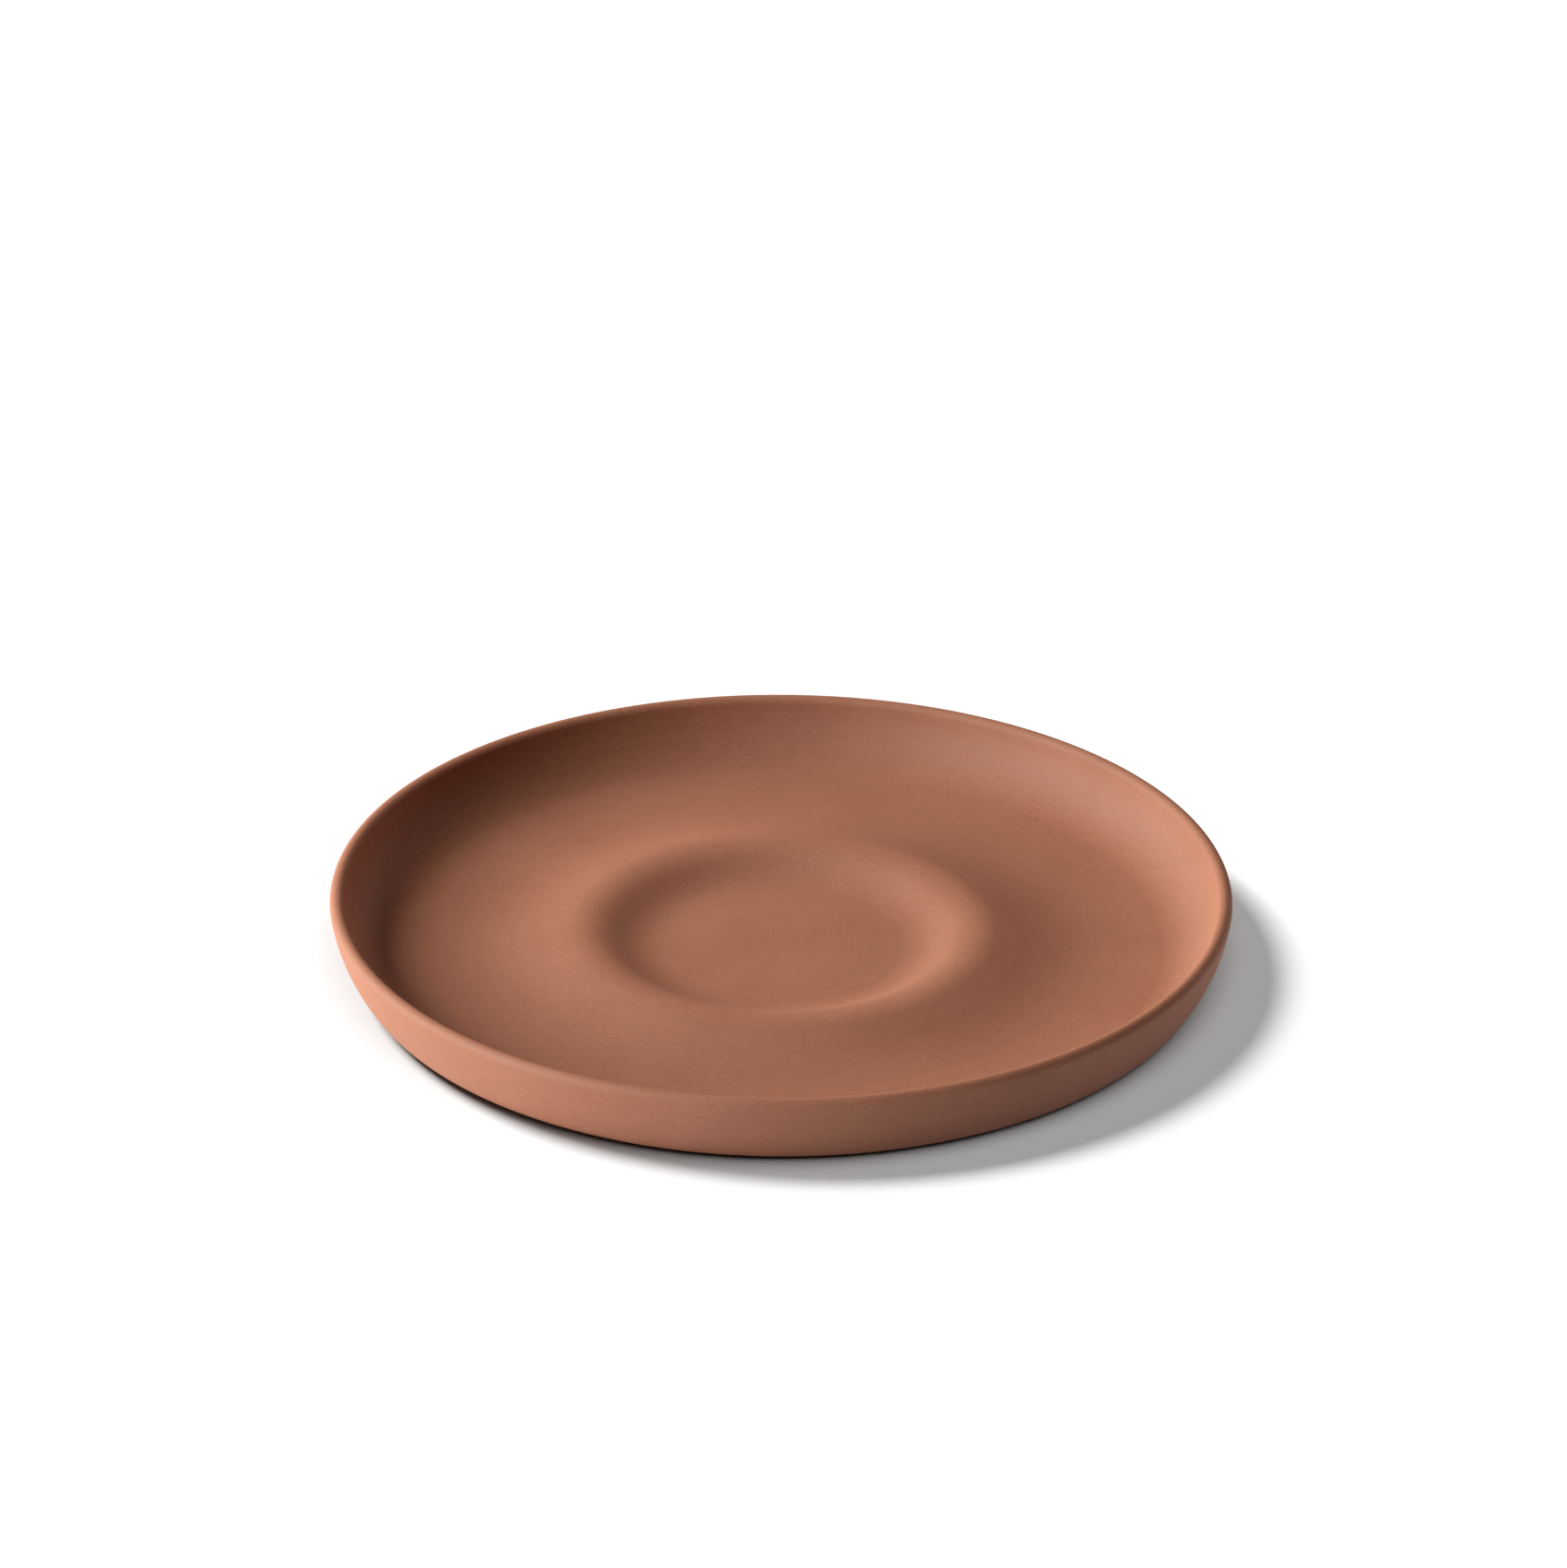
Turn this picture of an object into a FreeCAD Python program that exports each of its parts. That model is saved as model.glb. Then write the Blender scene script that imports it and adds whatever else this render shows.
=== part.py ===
import FreeCAD, Part
import math
import os
import re
import Sketcher
from FreeCAD import Vector

# A round terracotta saucer, pressed and fired as one piece of clay.
# Frame: millimetres, +Z up along the axis of the dish, origin on the table under its centre.
# The half section lies in the XZ plane. It runs anticlockwise: outwards under the base, up
# the wall, over the lip, inwards across the dish and down the axis.

DIMENSIONS = [
    # alias, value in mm, what it is
    ("rim_radius", 75.0, "outermost radius, at the lip"),
    ("rim_height", 13.5, "height of the lip above the table"),
    ("lip_radius", 1.2, "rounding of the lip, half the thickness of the wall there"),
    ("wall_bulge", 23.4, "radius of the gently convex outer wall, in section"),
    ("corner_radius", 5.25, "rounding between the outer wall and the foot"),
    ("base_radius", 66.8, "outer radius of the flat foot ring"),
    ("foot_inner_radius", 61.0, "inner radius of the flat foot ring"),
    ("recess_depth", 0.8, "how far the underside is raised inside the foot ring"),
    ("recess_bend", 1.5, "radius of both bends of the step from the recess to the foot"),
    ("inner_corner", 10.0, "radius of the inner wall where it turns up to the lip"),
    ("inner_sweep", 15.0, "radius of the floor where it starts to turn up"),
    ("outer_rise", 97.0, "radius of the slow rise from the trough outwards"),
    ("outer_rise_end", 63.5, "distance from the axis where that slow rise ends"),
    ("trough_radius", 53.4, "distance from the axis of the lowest ring of the dish"),
    ("trough_height", 2.9, "height of that lowest ring"),
    ("trough_bend", 46.0, "radius of the floor between the trough and the crown"),
    ("crown_radius", 33.0, "distance from the axis of the top of the raised ring"),
    ("crown_height", 6.4, "height of the top of the raised ring"),
    ("crown_bend", 11.0, "rounding of the raised ring, in section"),
    ("flank_bend", 14.0, "radius where the flank of the well runs out into its floor"),
    ("well_radius", 20.1, "radius of the floor of the well"),
    ("well_ledge", 0.7, "width of the level ring round the edge of that floor"),
    ("seat_radius", 10.5, "radius of the flat seat in the middle of the well"),
    ("seat_height", 3.05, "height of the flat seat"),
    ("seat_fall", 120.0, "radius of both bends where the seat falls away to the ledge"),
]

CCW = 1     # the section turns left: the clay is convex there
CW = -1     # the section turns right: the clay is hollow there


def make_sheet(doc):
    """The driving dimensions, one row each, with the alias that the sketch refers to."""
    sheet = doc.addObject("Spreadsheet::Sheet", "dims")
    for row, (alias, value, meaning) in enumerate(DIMENSIONS, start=1):
        sheet.set(f"A{row}", alias)
        sheet.set(f"B{row}", str(value))
        sheet.set(f"C{row}", meaning)
        sheet.setAlias(f"B{row}", alias)
    doc.recompute()
    return sheet


def unit(a, b):
    """Direction from a to b."""
    return (b - a).normalize()


def meet(a, from_a, b, from_b, side):
    """Point at two given distances from a and b, to the left of a-b (CCW) or the right (CW)."""
    gap = (b - a).Length
    along = (gap**2 + from_a**2 - from_b**2) / (2 * gap)
    across = math.sqrt(from_a**2 - along**2)
    ahead = unit(a, b)
    left = Vector(-ahead.y, ahead.x, 0)
    return a + ahead * along + left * (side * across)


def crossing_tangent(a, radius_a, b, radius_b, side):
    """Ends of the straight line that touches circle a on one side and circle b on the other."""
    ahead = unit(a, b)
    angle = side * math.acos((radius_a + radius_b) / (b - a).Length)
    spoke = Vector(
        ahead.x * math.cos(angle) - ahead.y * math.sin(angle),
        ahead.x * math.sin(angle) + ahead.y * math.cos(angle),
        0,
    )
    return a + spoke * radius_a, b - spoke * radius_b


class Outline:
    """Lines and arcs drawn end to end in a sketch, each tied to the one before it."""

    def __init__(self, sketch):
        self.sketch = sketch
        self.ends = {}
        self.index = {}
        self.last = None

    def _add(self, name, geometry, first, final, smooth):
        number = self.sketch.addGeometry(geometry, False)
        self.index[name] = number
        self.ends[name] = (first, final)
        if self.last:
            kind = "Tangent" if smooth else "Coincident"
            before = self.index[self.last]
            self.sketch.addConstraint(
                Sketcher.Constraint(kind, before, self.ends[self.last][1], number, first)
            )
        self.last = name

    def line(self, name, start, end, smooth=True):
        self._add(name, Part.LineSegment(start, end), 1, 2, smooth)

    def arc(self, name, centre, start, end, turn):
        """An arc from start to end. A sketch stores every arc anticlockwise."""
        low, high = (start, end) if turn == CCW else (end, start)
        angles = [math.atan2(p.y - centre.y, p.x - centre.x) for p in (low, high)]
        circle = Part.Circle(centre, Vector(0, 0, 1), (start - centre).Length)
        first, final = (1, 2) if turn == CCW else (2, 1)
        self._add(name, Part.ArcOfCircle(circle, *angles), first, final, True)

    def close(self, first_name):
        """Joins the last element to the first one, with a corner."""
        self.sketch.addConstraint(
            Sketcher.Constraint(
                "Coincident",
                self.index[self.last],
                self.ends[self.last][1],
                self.index[first_name],
                self.ends[first_name][0],
            )
        )

    def bind(self, label, kind, name, point, expression):
        """A dimension that follows the sheet: a radius, or the x or y of one point."""
        number = self.index[name]
        value = float(self.sketch.Document.dims.evalExpression(expression))
        if kind == "Radius":
            constraint = Sketcher.Constraint(kind, number, value)
        else:
            constraint = Sketcher.Constraint(kind, number, point, value)
        place = self.sketch.addConstraint(constraint)
        self.sketch.renameConstraint(place, label)
        terms = re.sub(r"[a-z_]+", r"dims.\g<0>", expression)
        self.sketch.setExpression("Constraints." + label, terms)


CENTRE = 3      # the point number of an arc's centre in a sketch
X_AXIS = -1     # the sketch's own axes
Y_AXIS = -2


def draw_section(sketch, size):
    """The half section, drawn where the dimensions put it and then tied to the sheet."""
    lip = Vector(size.rim_radius - size.lip_radius, size.rim_height - size.lip_radius, 0)
    corner = Vector(size.base_radius, size.corner_radius, 0)
    wall = meet(
        lip, size.wall_bulge - size.lip_radius, corner, size.wall_bulge - size.corner_radius, CW
    )
    lip_to_wall = wall + unit(wall, lip) * size.wall_bulge
    wall_to_corner = wall + unit(wall, corner) * size.wall_bulge

    # underside: recess, step down to the foot ring, foot ring
    step_angle = math.acos(1 - size.recess_depth / (2 * size.recess_bend))
    step_width = 2 * size.recess_bend * math.sin(step_angle)
    axis_low = Vector(0, size.recess_depth, 0)
    step_top = Vector(size.foot_inner_radius - step_width, size.recess_depth, 0)
    step_foot = Vector(size.foot_inner_radius, 0, 0)
    hollow = step_top - Vector(0, size.recess_bend, 0)
    rounded = step_foot + Vector(0, size.recess_bend, 0)
    step_middle = (hollow + rounded) / 2

    # dish, from the lip inwards
    trough = Vector(size.trough_radius, size.trough_height, 0)
    rise = trough + Vector(0, size.outer_rise, 0)
    rise_angle = math.asin((size.outer_rise_end - size.trough_radius) / size.outer_rise)
    rise_spoke = Vector(math.sin(rise_angle), -math.cos(rise_angle), 0)
    rise_end = rise + rise_spoke * size.outer_rise
    sweep = rise_end - rise_spoke * size.inner_sweep
    inner = meet(
        lip, size.inner_corner + size.lip_radius, sweep, size.inner_sweep - size.inner_corner, CCW
    )
    lip_to_inner = lip + unit(lip, inner) * size.lip_radius
    inner_to_sweep = sweep + unit(sweep, inner) * size.inner_sweep

    trough_centre = trough + Vector(0, size.trough_bend, 0)
    crown = Vector(size.crown_radius, size.crown_height - size.crown_bend, 0)
    seat_centre = Vector(size.seat_radius, size.seat_height - size.seat_fall, 0)
    ledge_radius = size.well_radius - size.well_ledge
    fall_drop = 2 * size.seat_fall
    ledge_rise = math.sqrt(fall_drop**2 - (ledge_radius - size.seat_radius) ** 2)
    ledge_centre = Vector(ledge_radius, seat_centre.y + ledge_rise, 0)
    ledge_end = ledge_centre - Vector(0, size.seat_fall, 0)
    well_edge = Vector(size.well_radius, ledge_end.y, 0)
    flank = well_edge + Vector(0, size.flank_bend, 0)
    slope_top, slope_end = crossing_tangent(
        crown, size.crown_bend, trough_centre, size.trough_bend, CCW
    )
    flank_top, flank_end = crossing_tangent(crown, size.crown_bend, flank, size.flank_bend, CW)
    seat_edge = Vector(size.seat_radius, size.seat_height, 0)
    fall_middle = (seat_centre + ledge_centre) / 2
    axis_high = Vector(0, size.seat_height, 0)

    outline = Outline(sketch)
    outline.line("underside", axis_low, step_top)
    outline.arc("step_hollow", hollow, step_top, step_middle, CW)
    outline.arc("step_round", rounded, step_middle, step_foot, CCW)
    outline.line("foot", step_foot, Vector(size.base_radius, 0, 0))
    outline.arc("corner", corner, Vector(size.base_radius, 0, 0), wall_to_corner, CCW)
    outline.arc("wall", wall, wall_to_corner, lip_to_wall, CCW)
    outline.arc("lip", lip, lip_to_wall, lip_to_inner, CCW)
    outline.arc("inner_wall", inner, lip_to_inner, inner_to_sweep, CW)
    outline.arc("floor_sweep", sweep, inner_to_sweep, rise_end, CW)
    outline.arc("floor_rise", rise, rise_end, trough, CW)
    outline.arc("trough", trough_centre, trough, slope_end, CW)
    outline.line("outer_slope", slope_end, slope_top)
    outline.arc("crown", crown, slope_top, flank_top, CCW)
    outline.line("flank", flank_top, flank_end)
    outline.arc("flank_foot", flank, flank_end, well_edge, CW)
    outline.line("ledge", well_edge, ledge_end)
    outline.arc("fall_hollow", ledge_centre, ledge_end, fall_middle, CW)
    outline.arc("fall_round", seat_centre, fall_middle, seat_edge, CCW)
    outline.line("seat", seat_edge, axis_high)
    outline.line("axis", axis_high, axis_low, smooth=False)
    outline.close("underside")

    for level in ("underside", "ledge", "seat"):
        sketch.addConstraint(Sketcher.Constraint("Horizontal", outline.index[level]))
    on_axis = Sketcher.Constraint("PointOnObject", outline.index["axis"], 1, Y_AXIS)
    sketch.addConstraint(on_axis)
    sketch.addConstraint(Sketcher.Constraint("Vertical", outline.index["axis"]))
    for end in (1, 2):
        on_table = Sketcher.Constraint("PointOnObject", outline.index["foot"], end, X_AXIS)
        sketch.addConstraint(on_table)

    radii = {
        "step_hollow": "recess_bend",
        "step_round": "recess_bend",
        "corner": "corner_radius",
        "wall": "wall_bulge",
        "lip": "lip_radius",
        "inner_wall": "inner_corner",
        "floor_sweep": "inner_sweep",
        "floor_rise": "outer_rise",
        "trough": "trough_bend",
        "crown": "crown_bend",
        "flank_foot": "flank_bend",
        "fall_hollow": "seat_fall",
        "fall_round": "seat_fall",
    }
    for name, alias in radii.items():
        outline.bind("bend_" + name, "Radius", name, None, alias)

    places = [
        # label, direction, element, its point, what the sheet says
        ("recess_level", "DistanceY", "underside", 1, "recess_depth"),
        ("foot_start", "DistanceX", "foot", 1, "foot_inner_radius"),
        ("foot_end", "DistanceX", "foot", 2, "base_radius"),
        ("lip_across", "DistanceX", "lip", CENTRE, "rim_radius - lip_radius"),
        ("lip_up", "DistanceY", "lip", CENTRE, "rim_height - lip_radius"),
        ("rise_across", "DistanceX", "floor_rise", 2, "outer_rise_end"),
        ("trough_centre", "DistanceX", "floor_rise", CENTRE, "trough_radius"),
        ("trough_across", "DistanceX", "floor_rise", 1, "trough_radius"),
        ("trough_up", "DistanceY", "floor_rise", 1, "trough_height"),
        ("crown_across", "DistanceX", "crown", CENTRE, "crown_radius"),
        ("crown_up", "DistanceY", "crown", CENTRE, "crown_height - crown_bend"),
        ("well_across", "DistanceX", "ledge", 1, "well_radius"),
        ("ledge_across", "DistanceX", "ledge", 2, "well_radius - well_ledge"),
        ("seat_across", "DistanceX", "seat", 1, "seat_radius"),
        ("seat_up", "DistanceY", "seat", 1, "seat_height"),
    ]
    for label, kind, name, point, expression in places:
        outline.bind(label, kind, name, point, expression)


def origin_plane(body, role):
    """The body's own origin plane with the given role, such as XZ_Plane."""
    return next(feature for feature in body.Origin.OriginFeatures if feature.Role == role)


def make_saucer(doc, sheet):
    """The whole saucer: one section turned once round the axis."""
    body = doc.addObject("PartDesign::Body", "saucer_body")
    body.Label = "saucer_body"
    sketch = body.newObject("Sketcher::SketchObject", "section")
    sketch.AttachmentSupport = [(origin_plane(body, "XZ_Plane"), "")]
    sketch.MapMode = "FlatFace"
    doc.recompute()
    draw_section(sketch, sheet)
    doc.recompute()
    turned = body.newObject("PartDesign::Revolution", "turned_clay")
    turned.Profile = sketch
    turned.ReferenceAxis = (sketch, ["V_Axis"])
    turned.Angle = 360.0
    sketch.Visibility = False
    body.Placement = FreeCAD.Placement(Vector(0, 0, 0), FreeCAD.Rotation())
    return body


def check(doc, bodies):
    """Stops with a message if any object of the document failed or has a bad shape."""
    for item in doc.Objects:
        if "Invalid" in item.State or "Error" in item.State:
            raise RuntimeError(f"{item.Name} failed: {item.State}")
    for body in bodies:
        shape = body.Shape
        if shape.isNull() or not shape.isValid() or len(shape.Solids) != 1:
            raise RuntimeError(f"{body.Label} is not one valid solid")
    free = doc.section.solve()
    if free != 0:
        raise RuntimeError(f"the section does not solve: {free}")
    if not doc.section.FullyConstrained:
        raise RuntimeError("the section is not fully constrained")


def main():
    doc = FreeCAD.newDocument("saucer")
    sheet = make_sheet(doc)
    bodies = [make_saucer(doc, sheet)]
    doc.recompute()
    check(doc, bodies)
    os.makedirs("parts", exist_ok=True)
    for body in bodies:
        box = body.Shape.optimalBoundingBox(False)
        print(
            f"{body.Label}: {box.XLength:.3f} x {box.YLength:.3f} x {box.ZLength:.3f} mm, "
            f"{body.Shape.Volume / 1000:.2f} cm3, base at z = {box.ZMin:.4f}"
        )
        body.Shape.exportStep(f"parts/{body.Label}.step")


main()
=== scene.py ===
import math

import bpy
from mathutils import Euler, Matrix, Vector


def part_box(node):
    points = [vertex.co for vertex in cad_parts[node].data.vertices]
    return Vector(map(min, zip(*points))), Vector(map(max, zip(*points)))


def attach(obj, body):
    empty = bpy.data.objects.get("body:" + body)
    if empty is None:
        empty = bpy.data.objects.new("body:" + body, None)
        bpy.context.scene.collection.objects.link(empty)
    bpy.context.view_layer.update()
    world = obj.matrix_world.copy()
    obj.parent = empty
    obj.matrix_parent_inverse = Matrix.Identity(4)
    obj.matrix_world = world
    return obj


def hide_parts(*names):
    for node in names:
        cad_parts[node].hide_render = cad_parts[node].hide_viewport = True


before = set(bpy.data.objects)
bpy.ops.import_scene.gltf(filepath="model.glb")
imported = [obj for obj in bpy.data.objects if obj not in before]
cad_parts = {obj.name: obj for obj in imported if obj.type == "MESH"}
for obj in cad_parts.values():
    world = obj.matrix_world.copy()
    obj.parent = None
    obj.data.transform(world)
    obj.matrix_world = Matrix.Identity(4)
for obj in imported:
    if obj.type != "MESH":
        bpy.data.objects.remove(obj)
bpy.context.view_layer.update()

# The looks of a round terracotta saucer, in metres, in the frame of the CAD model: +Z up
# along the saucer's axis, the floor at z = 0. Lengths written with * MM are millimetres.
MM = 0.001

# Section of the clay, the same sizes as the CAD model's.
LOW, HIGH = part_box("saucer_body")
RIM_RADIUS = (HIGH.x - LOW.x) / 2
RIM_HEIGHT = HIGH.z - LOW.z
LIP_RADIUS = 1.2 * MM
WALL_BULGE = 23.4 * MM
CORNER_RADIUS = 5.25 * MM
BASE_RADIUS = 66.8 * MM
FOOT_INNER_RADIUS = 61.0 * MM
RECESS_DEPTH = 0.8 * MM
RECESS_BEND = 1.5 * MM
INNER_CORNER = 10.0 * MM
INNER_SWEEP = 15.0 * MM
OUTER_RISE = 97.0 * MM
OUTER_RISE_END = 63.5 * MM
TROUGH_RADIUS = 53.4 * MM
TROUGH_HEIGHT = 2.9 * MM
TROUGH_BEND = 46.0 * MM
CROWN_RADIUS = 33.0 * MM
CROWN_HEIGHT = 6.4 * MM
CROWN_BEND = 11.0 * MM
FLANK_BEND = 14.0 * MM
WELL_RADIUS = 20.1 * MM
WELL_LEDGE = 0.7 * MM
SEAT_RADIUS = 10.5 * MM
SEAT_HEIGHT = 3.05 * MM
SEAT_FALL = 120.0 * MM

# How finely the section is turned into a mesh.
STEPS_ROUND = 480
LINE_STEP = 1.8 * MM
ARC_STEP = 0.9 * MM
ARC_TURN = math.radians(7)

# The clay's colour wanders between two reds. Sizes are of the blotches, and depths of the relief.
CLAY_RED = (0.296, 0.106, 0.057)
CLAY_ORANGE = (0.312, 0.117, 0.064)
MOTTLE_SIZE = 18 * MM
MOTTLE_DEPTH = 0.01 * MM
CLOUD_SIZE = 4 * MM
CLOUD_SHADE = 0.04
GRAIN_SIZE = 0.5 * MM
GRAIN_DEPTH = 0.005 * MM
GRAIN_SHADE = 0.30
MARK_SIZE = 1.6 * MM
MARK_DEPTH = 0.004 * MM
MARK_SHADE = 0.03
ROUGHNESS_LOW = 0.68
ROUGHNESS_HIGH = 0.82
DIFFUSE_ROUGHNESS = 0.6

# Camera: it stands at a distance and an angle above the floor from the middle of the foot, is
# rolled a little, and then is turned up and to the right of that middle to frame the saucer.
CAMERA_DISTANCE = 1.5
CAMERA_ELEVATION = math.radians(27.44)
CAMERA_LENS = 206.3         # on Blender's 36 mm sensor
CAMERA_ROLL = math.radians(0.252)
CAMERA_UP = math.radians(1.124)
CAMERA_RIGHT = math.radians(0.0165)
CAMERA_REACH = 100.0

# Light on the saucer: one wide softbox low on the left, and a weak warm fill from behind.
KEY_AZIMUTH = math.radians(182.6)
KEY_ELEVATION = math.radians(24.1)
KEY_DISTANCE = 0.87
KEY_WIDTH = 1.32
KEY_HEIGHT = 0.87
KEY_POWER = 34.2
KEY_COLOUR = (0.97, 1.0, 0.94)
FILL_AZIMUTH = math.radians(43)
FILL_ELEVATION = math.radians(14)
FILL_SPREAD = math.radians(40)
FILL_STRENGTH = 1.5
FILL_COLOUR = (1.0, 0.64, 0.47)

# The floor and its light: the lit floor is a little brighter than white, and the light named
# "above" is all that is left in the saucer's shadow. The floor's base colour is greyer than it
# looks, so that less of the clay's red is seen on it.
FLOOR_SIZE = 40.0
FLOOR_ALBEDO = 0.3
FLOOR_LIGHTS = (
    # name, azimuth, elevation and width in degrees, brightness of the floor under it alone
    ("shadow", 164.5, 52.5, 20, 0.66),
    ("slant", 142, 31, 11, 0.145),
    ("above", 300, 60, 50, 0.335),
)

CCW, CW = 1, -1


# --- the section -----------------------------------------------------------------------

def flat(x, y):
    """A point in the section: x is the distance from the axis, y the height."""
    return Vector((x, y))


def meet(a, from_a, b, from_b, side):
    """Point at two given distances from a and b, to the left of a-b (CCW) or the right (CW)."""
    gap = (b - a).length
    along = (gap**2 + from_a**2 - from_b**2) / (2 * gap)
    across = math.sqrt(from_a**2 - along**2)
    ahead = (b - a).normalized()
    return a + ahead * along + flat(-ahead.y, ahead.x) * (side * across)


def crossing_tangent(a, radius_a, b, radius_b, side):
    """Ends of the straight line that touches circle a on one side and circle b on the other."""
    ahead = (b - a).normalized()
    angle = side * math.acos((radius_a + radius_b) / (b - a).length)
    spoke = flat(
        ahead.x * math.cos(angle) - ahead.y * math.sin(angle),
        ahead.x * math.sin(angle) + ahead.y * math.cos(angle),
    )
    return a + spoke * radius_a, b - spoke * radius_b


class Section:
    """Points (radius, height) along the outline, from the axis under the base to the seat."""

    def __init__(self, start):
        self.points = [start]

    def line(self, end):
        start = self.points[-1]
        count = max(1, math.ceil((end - start).length / LINE_STEP))
        self.points += [start.lerp(end, step / count) for step in range(1, count + 1)]

    def arc(self, centre, end, turn):
        start = self.points[-1]
        radius = (end - centre).length
        first = math.atan2(start.y - centre.y, start.x - centre.x)
        last = math.atan2(end.y - centre.y, end.x - centre.x)
        sweep = turn * ((turn * (last - first)) % math.tau)
        count = max(2, math.ceil(max(abs(sweep) / ARC_TURN, radius * abs(sweep) / ARC_STEP)))
        for step in range(1, count + 1):
            angle = first + sweep * step / count
            self.points.append(centre + flat(math.cos(angle), math.sin(angle)) * radius)


def saucer_section():
    lip = flat(RIM_RADIUS - LIP_RADIUS, RIM_HEIGHT - LIP_RADIUS)
    corner = flat(BASE_RADIUS, CORNER_RADIUS)
    wall = meet(lip, WALL_BULGE - LIP_RADIUS, corner, WALL_BULGE - CORNER_RADIUS, CW)
    lip_to_wall = wall + (lip - wall).normalized() * WALL_BULGE
    wall_to_corner = wall + (corner - wall).normalized() * WALL_BULGE

    step_angle = math.acos(1 - RECESS_DEPTH / (2 * RECESS_BEND))
    step_width = 2 * RECESS_BEND * math.sin(step_angle)
    step_top = flat(FOOT_INNER_RADIUS - step_width, RECESS_DEPTH)
    step_foot = flat(FOOT_INNER_RADIUS, 0)
    hollow = step_top - flat(0, RECESS_BEND)
    rounded = step_foot + flat(0, RECESS_BEND)

    trough = flat(TROUGH_RADIUS, TROUGH_HEIGHT)
    rise = trough + flat(0, OUTER_RISE)
    rise_angle = math.asin((OUTER_RISE_END - TROUGH_RADIUS) / OUTER_RISE)
    rise_spoke = flat(math.sin(rise_angle), -math.cos(rise_angle))
    rise_end = rise + rise_spoke * OUTER_RISE
    sweep = rise_end - rise_spoke * INNER_SWEEP
    inner = meet(lip, INNER_CORNER + LIP_RADIUS, sweep, INNER_SWEEP - INNER_CORNER, CCW)
    lip_to_inner = lip + (inner - lip).normalized() * LIP_RADIUS
    inner_to_sweep = sweep + (inner - sweep).normalized() * INNER_SWEEP

    trough_centre = trough + flat(0, TROUGH_BEND)
    crown = flat(CROWN_RADIUS, CROWN_HEIGHT - CROWN_BEND)
    seat_centre = flat(SEAT_RADIUS, SEAT_HEIGHT - SEAT_FALL)
    ledge_radius = WELL_RADIUS - WELL_LEDGE
    ledge_rise = math.sqrt((2 * SEAT_FALL) ** 2 - (ledge_radius - SEAT_RADIUS) ** 2)
    ledge_centre = flat(ledge_radius, seat_centre.y + ledge_rise)
    ledge_end = ledge_centre - flat(0, SEAT_FALL)
    well_edge = flat(WELL_RADIUS, ledge_end.y)
    flank = well_edge + flat(0, FLANK_BEND)
    slope_top, slope_end = crossing_tangent(crown, CROWN_BEND, trough_centre, TROUGH_BEND, CCW)
    flank_top, flank_end = crossing_tangent(crown, CROWN_BEND, flank, FLANK_BEND, CW)

    section = Section(flat(0, RECESS_DEPTH))
    section.line(step_top)
    section.arc(hollow, (hollow + rounded) / 2, CW)
    section.arc(rounded, step_foot, CCW)
    section.line(flat(BASE_RADIUS, 0))
    section.arc(corner, wall_to_corner, CCW)
    section.arc(wall, lip_to_wall, CCW)
    section.arc(lip, lip_to_inner, CCW)
    section.arc(inner, inner_to_sweep, CW)
    section.arc(sweep, rise_end, CW)
    section.arc(rise, trough, CW)
    section.arc(trough_centre, slope_end, CW)
    section.line(slope_top)
    section.arc(crown, flank_top, CCW)
    section.line(flank_end)
    section.arc(flank, well_edge, CW)
    section.line(ledge_end)
    section.arc(ledge_centre, (seat_centre + ledge_centre) / 2, CW)
    section.arc(seat_centre, flat(SEAT_RADIUS, SEAT_HEIGHT), CCW)
    section.line(flat(0, SEAT_HEIGHT))
    return section.points


# --- the clay --------------------------------------------------------------------------

def turn(name, points, steps):
    """A closed mesh: the points turned once round the axis, with one vertex at each end."""
    rings = points[1:-1]
    angles = [math.tau * step / steps for step in range(steps)]
    vertices = [(0, 0, points[0].y), (0, 0, points[-1].y)]
    for ring in rings:
        vertices += [(ring.x * math.cos(a), ring.x * math.sin(a), ring.y) for a in angles]
    faces = []
    for step in range(steps):
        after = (step + 1) % steps
        faces.append((0, 2 + after, 2 + step))
        for ring in range(len(rings) - 1):
            low, high = 2 + ring * steps, 2 + (ring + 1) * steps
            faces.append((low + step, low + after, high + after, high + step))
        last = 2 + (len(rings) - 1) * steps
        faces.append((1, last + step, last + after))
    mesh = bpy.data.meshes.new(name)
    mesh.from_pydata(vertices, [], faces)
    mesh.shade_smooth()
    return add(name, mesh)


# --- materials -------------------------------------------------------------------------

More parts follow.
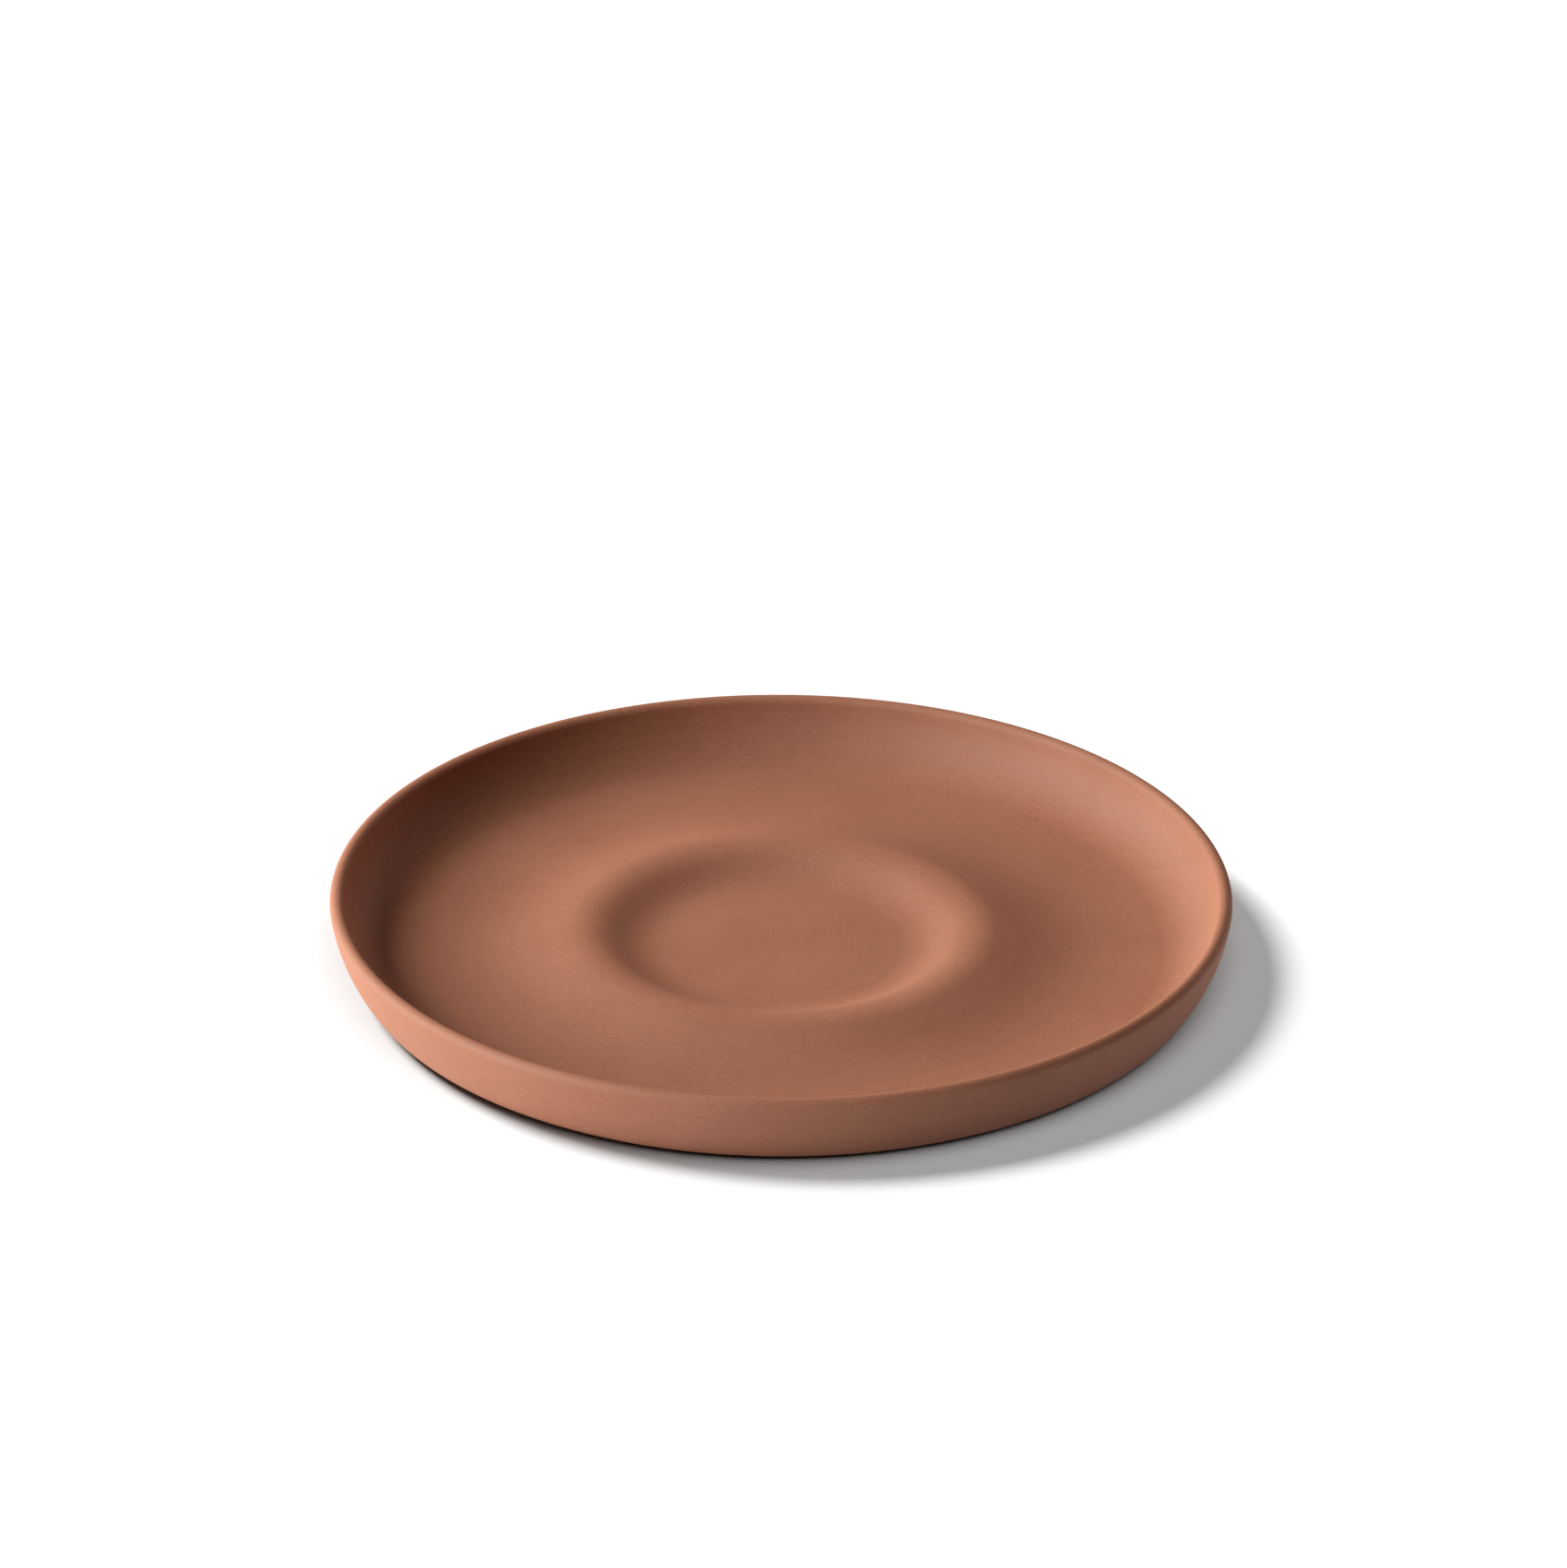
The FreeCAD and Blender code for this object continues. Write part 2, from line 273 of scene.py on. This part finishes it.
class Shader:
    """Short calls for building one material's nodes."""

    def __init__(self, name):
        self.material = bpy.data.materials.new(name)
        self.material.use_nodes = True
        self.nodes = self.material.node_tree.nodes
        self.links = self.material.node_tree.links
        self.surface = self.nodes["Principled BSDF"]

    def link(self, source, target):
        self.links.new(source, target)

    def place(self):
        """The point's own place on the object, in metres."""
        return self.nodes.new("ShaderNodeTexCoord").outputs["Object"]

    def noise(self, place, size, detail, roughness):
        """Noise with blotches of about the given size."""
        node = self.nodes.new("ShaderNodeTexNoise")
        node.inputs["Scale"].default_value = 1 / size
        node.inputs["Detail"].default_value = detail
        node.inputs["Roughness"].default_value = roughness
        self.link(place, node.inputs["Vector"])
        return node.outputs["Fac"]

    def turning_marks(self, place, size, detail):
        """Noise that is the same all round the axis, as a turning tool leaves it."""
        split = self.nodes.new("ShaderNodeSeparateXYZ")
        self.link(place, split.inputs["Vector"])
        across = self.nodes.new("ShaderNodeCombineXYZ")
        self.link(split.outputs["X"], across.inputs["X"])
        self.link(split.outputs["Y"], across.inputs["Y"])
        radius = self.nodes.new("ShaderNodeVectorMath")
        radius.operation = "LENGTH"
        self.link(across.outputs["Vector"], radius.inputs[0])
        along = self.nodes.new("ShaderNodeMath")
        along.operation = "ADD"
        self.link(radius.outputs["Value"], along.inputs[0])
        self.link(split.outputs["Z"], along.inputs[1])
        node = self.nodes.new("ShaderNodeTexNoise")
        node.noise_dimensions = "1D"
        node.inputs["Scale"].default_value = 1 / size
        node.inputs["Detail"].default_value = detail
        self.link(along.outputs["Value"], node.inputs["W"])
        return node.outputs["Fac"]

    def spread(self, value, low, high, to_low=0.0, to_high=1.0):
        """The value's range low-high stretched over to_low-to_high, and held at its ends."""
        node = self.nodes.new("ShaderNodeMapRange")
        node.inputs["From Min"].default_value = low
        node.inputs["From Max"].default_value = high
        node.inputs["To Min"].default_value = to_low
        node.inputs["To Max"].default_value = to_high
        self.link(value, node.inputs["Value"])
        return node.outputs["Result"]

    def mix(self, factor, first, second):
        """A colour that goes from the first to the second as the factor goes from 0 to 1."""
        node = self.nodes.new("ShaderNodeMix")
        node.data_type = "RGBA"
        self.link(factor, node.inputs["Factor"])
        node.inputs["A"].default_value = (*first, 1)
        node.inputs["B"].default_value = (*second, 1)
        return node.outputs["Result"]

    def shade(self, colour, value, amount):
        """The colour made lighter or darker where the value is above or below a half."""
        node = self.nodes.new("ShaderNodeMix")
        node.data_type = "RGBA"
        node.blend_type = "OVERLAY"
        node.inputs["Factor"].default_value = amount
        self.link(colour, node.inputs["A"])
        self.link(value, node.inputs["B"])
        return node.outputs["Result"]

    def bump(self, height, depth, below=None):
        """Relief of the given depth in metres, on top of the relief below."""
        node = self.nodes.new("ShaderNodeBump")
        node.inputs["Distance"].default_value = depth
        self.link(height, node.inputs["Height"])
        if below:
            self.link(below, node.inputs["Normal"])
        return node.outputs["Normal"]


def terracotta():
    clay = Shader("terracotta")
    place = clay.place()
    mottle = clay.noise(place, MOTTLE_SIZE, detail=3, roughness=0.55)
    cloud = clay.noise(place, CLOUD_SIZE, detail=3, roughness=0.6)
    grain = clay.noise(place, GRAIN_SIZE, detail=2, roughness=0.7)
    marks = clay.turning_marks(place, MARK_SIZE, detail=3)

    colour = clay.mix(clay.spread(mottle, 0.32, 0.68), CLAY_RED, CLAY_ORANGE)
    colour = clay.shade(colour, cloud, CLOUD_SHADE)
    colour = clay.shade(colour, marks, MARK_SHADE)
    colour = clay.shade(colour, grain, GRAIN_SHADE)
    clay.link(colour, clay.surface.inputs["Base Color"])
    roughness = clay.spread(grain, 0.3, 0.7, ROUGHNESS_LOW, ROUGHNESS_HIGH)
    clay.link(roughness, clay.surface.inputs["Roughness"])
    clay.surface.inputs["Diffuse Roughness"].default_value = DIFFUSE_ROUGHNESS

    relief = clay.bump(mottle, MOTTLE_DEPTH)
    relief = clay.bump(marks, MARK_DEPTH, relief)
    relief = clay.bump(grain, GRAIN_DEPTH, relief)
    clay.link(relief, clay.surface.inputs["Normal"])
    return clay.material


def white_floor():
    floor = Shader("white_floor")
    floor.surface.inputs["Base Color"].default_value = (FLOOR_ALBEDO, FLOOR_ALBEDO, FLOOR_ALBEDO, 1)
    floor.surface.inputs["Roughness"].default_value = 1.0
    floor.surface.inputs["Specular IOR Level"].default_value = 0.0
    return floor.material


# --- stage -----------------------------------------------------------------------------

def add(name, data):
    thing = bpy.data.objects.new(name, data)
    bpy.context.scene.collection.objects.link(thing)
    return thing


def direction(azimuth, elevation):
    level = math.cos(elevation)
    return Vector((math.cos(azimuth) * level, math.sin(azimuth) * level, math.sin(elevation)))


def group(name, thing):
    """A collection that holds one object, for a light that falls on that object alone."""
    collection = bpy.data.collections.new(name)
    collection.objects.link(thing)
    return collection


def softbox(name, towards, distance, size, power, colour, lit):
    """A wide light that faces the saucer and falls only on the things lit."""
    data = bpy.data.lights.new(name, "AREA")
    data.shape = "RECTANGLE"
    data.size, data.size_y = size
    data.energy = power
    data.color = colour
    light = add(name, data)
    light.location = towards * distance
    light.rotation_mode = "QUATERNION"
    light.rotation_quaternion = towards.to_track_quat("Z", "Y")
    light.light_linking.receiver_collection = lit
    light.visible_camera = False


def far_light(name, towards, spread, strength, lit, colour=(1, 1, 1)):
    """A light too far away to fade across the scene. Spread is how wide it looks from here."""
    data = bpy.data.lights.new(name, "SUN")
    data.angle = spread
    data.energy = strength
    data.color = colour
    light = add(name, data)
    light.rotation_mode = "QUATERNION"
    light.rotation_quaternion = towards.to_track_quat("Z", "Y")
    light.light_linking.receiver_collection = lit


def make_floor():
    mesh = bpy.data.meshes.new("floor")
    half = FLOOR_SIZE / 2
    corners = [(-half, -half, 0), (half, -half, 0), (half, half, 0), (-half, half, 0)]
    mesh.from_pydata(corners, [], [(0, 1, 2, 3)])
    mesh.materials.append(white_floor())
    floor = add("floor", mesh)
    return floor


def light_saucer(saucer):
    lit = group("lit_saucer", saucer)
    key = direction(KEY_AZIMUTH, KEY_ELEVATION)
    softbox("key", key, KEY_DISTANCE, (KEY_WIDTH, KEY_HEIGHT), KEY_POWER, KEY_COLOUR, lit)
    fill = direction(FILL_AZIMUTH, FILL_ELEVATION)
    far_light("fill", fill, FILL_SPREAD, FILL_STRENGTH, lit, FILL_COLOUR)


def light_floor(floor):
    lit = group("lit_floor", floor)
    for name, azimuth, elevation, width, brightness in FLOOR_LIGHTS:
        towards = direction(math.radians(azimuth), math.radians(elevation))
        strength = math.pi / FLOOR_ALBEDO * brightness / towards.z
        far_light(name, towards, math.radians(width), strength, lit)


def make_backdrop():
    """A white surround that is seen past the floor's edge and lights nothing."""
    world = bpy.data.worlds.new("backdrop")
    bpy.context.scene.world = world
    world.use_nodes = True
    world.node_tree.nodes["Background"].inputs["Color"].default_value = (1, 1, 1, 1)
    world.cycles_visibility.diffuse = False
    world.cycles_visibility.glossy = False


def make_camera():
    data = bpy.data.cameras.new("camera")
    data.lens = CAMERA_LENS
    data.clip_end = CAMERA_REACH
    camera = add("camera", data)
    camera.location = direction(-math.pi / 2, CAMERA_ELEVATION) * CAMERA_DISTANCE
    look = (-camera.location).to_track_quat("-Z", "Y")
    framing = Euler((CAMERA_UP, -CAMERA_RIGHT, CAMERA_ROLL)).to_quaternion()
    camera.rotation_mode = "QUATERNION"
    camera.rotation_quaternion = look @ framing
    bpy.context.scene.camera = camera


bpy.context.scene.view_settings.view_transform = "Standard"
saucer = turn("saucer", saucer_section(), STEPS_ROUND)
saucer.data.materials.append(terracotta())
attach(saucer, "root")
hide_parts("saucer_body")

floor = make_floor()
light_saucer(saucer)
light_floor(floor)
make_backdrop()
make_camera()
